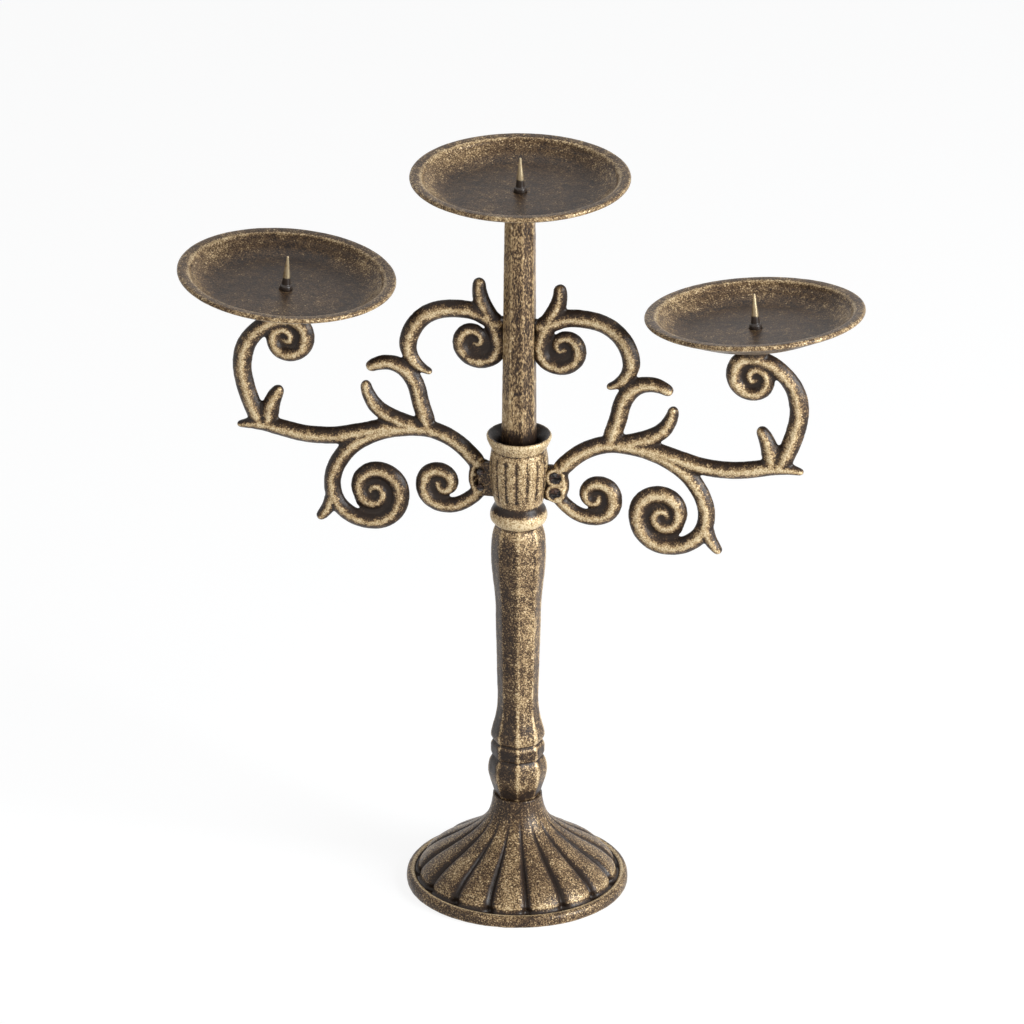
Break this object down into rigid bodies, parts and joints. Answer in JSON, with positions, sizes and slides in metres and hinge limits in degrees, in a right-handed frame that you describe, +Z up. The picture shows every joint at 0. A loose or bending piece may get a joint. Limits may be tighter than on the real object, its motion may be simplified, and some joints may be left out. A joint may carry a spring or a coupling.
{
  "type": "pricket candlestick",
  "caption": "Free-standing scrolled cast iron candlestick with a lobed round foot, a baluster stem, side arms and shallow pricket pans for pillar candles.",
  "frame": {"origin": "centre of the foot's underside, on the plane it stands on", "axes": "+Z up along the stem, +X towards the right arm as seen from the front, +Y to the back"},
  "size_m": [0.3158, 0.1028, 0.3632],
  "materials": {
    "bronzed_iron": "dark brown-black with a dry-brushed antique gold, cast texture",
    "pricket_brass": "worn brass colour, dull",
    "dark_steel": "dark oxide"
  },
  "bodies": {
    "root": {"foot": "bronzed_iron", "stem": "bronzed_iron", "post": "bronzed_iron", "right_arm": "bronzed_iron", "left_arm": "bronzed_iron", "left_pan": "bronzed_iron", "centre_pan": "bronzed_iron", "right_pan": "bronzed_iron", "left_pricket": "pricket_brass", "centre_pricket": "pricket_brass", "right_pricket": "pricket_brass", "lug_screws": "dark_steel", "arm_dowel": "dark_steel", "tie_rod": "dark_steel", "tie_washer": "dark_steel", "tie_nut": "dark_steel"}
  },
  "joints": []
}
